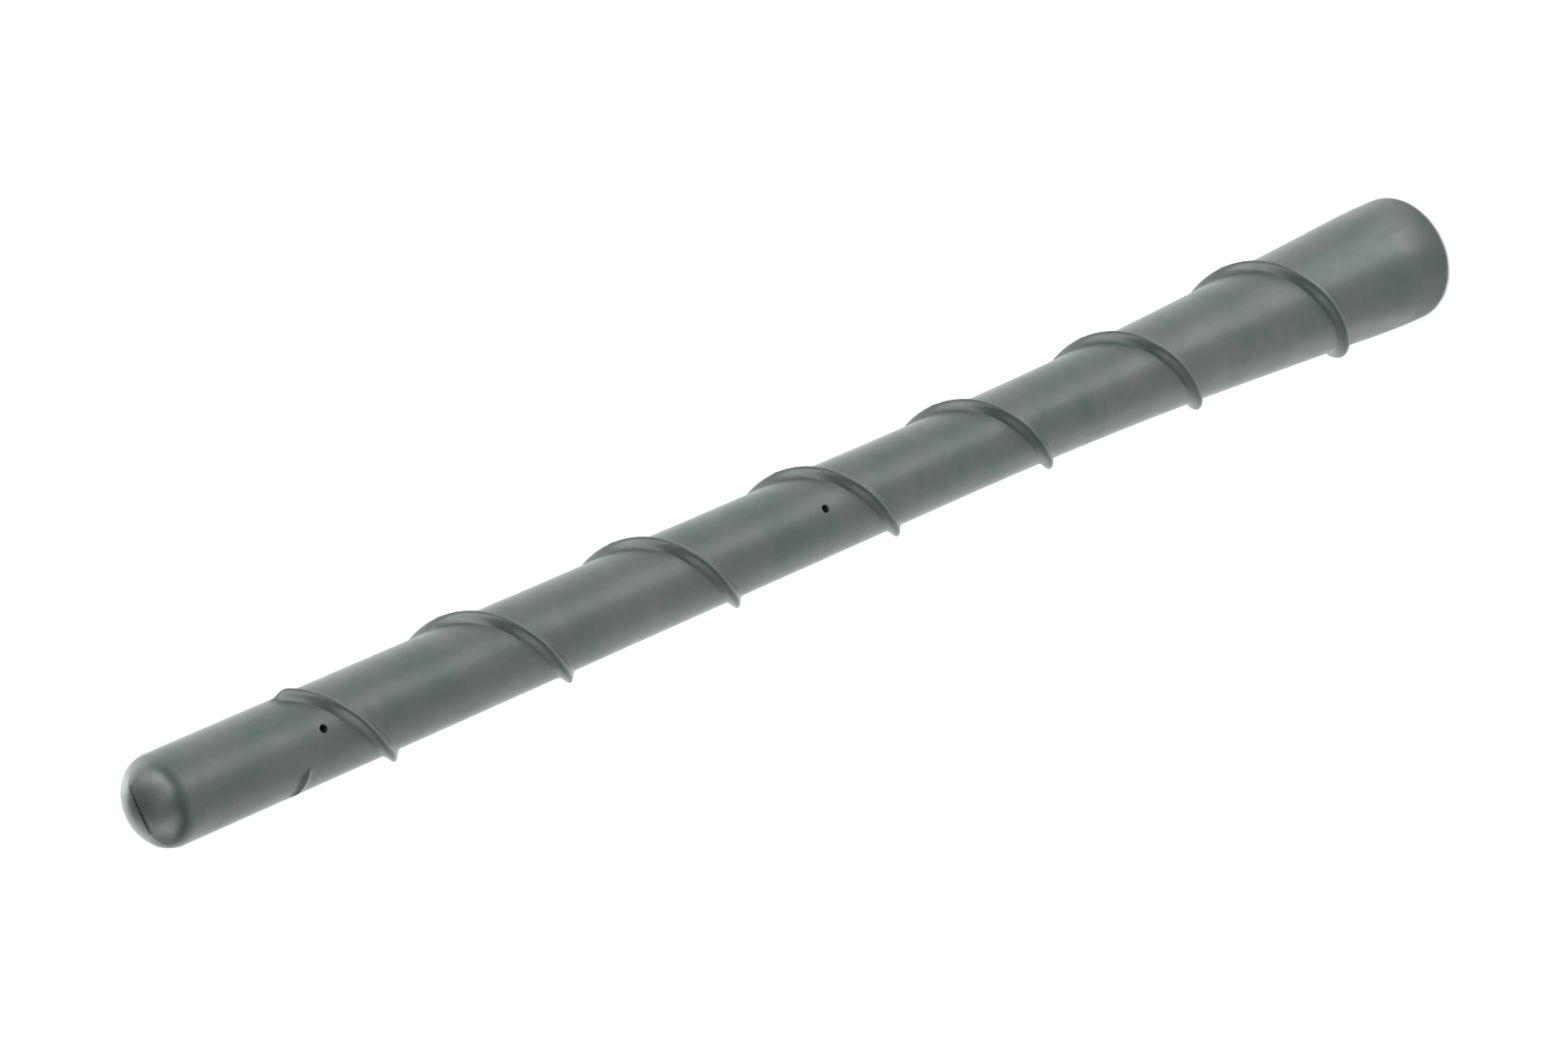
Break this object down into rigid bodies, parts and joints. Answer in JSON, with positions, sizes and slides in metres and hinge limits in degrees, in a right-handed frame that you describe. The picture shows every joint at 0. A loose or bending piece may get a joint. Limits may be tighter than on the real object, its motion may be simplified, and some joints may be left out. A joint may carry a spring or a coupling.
{
  "type": "car mast aerial",
  "caption": "Short flexible roof aerial for a car: a rubber mast with a helical rib, a flared base and a domed tip, moulded over a wound rod and a threaded brass ferrule.",
  "frame": {"origin": "centre of the base rim's flat underside, on the mast's axis", "axes": "+Z along the mast from the base to the tip; -Y is the side with the two mould pin holes; the rib starts near +X below the tip"},
  "size_m": [0.015, 0.0155, 0.19],
  "materials": {
    "jacket_rubber": "satin grey moulded rubber",
    "ferrule_brass": "turned",
    "glass_fibre": "pultruded glass-fibre rod",
    "solder": "satin solder",
    "copper_wire": "enamelled copper wire, close turns as one solid",
    "shrink_tube": "shrunk tube"
  },
  "bodies": {
    "root": {"rubber_jacket": "jacket_rubber", "threaded_ferrule": "ferrule_brass", "core_rod": "glass_fibre", "solder_bead": "solder", "radiator_winding": "copper_wire", "shrink_sleeve": "shrink_tube"}
  },
  "joints": []
}
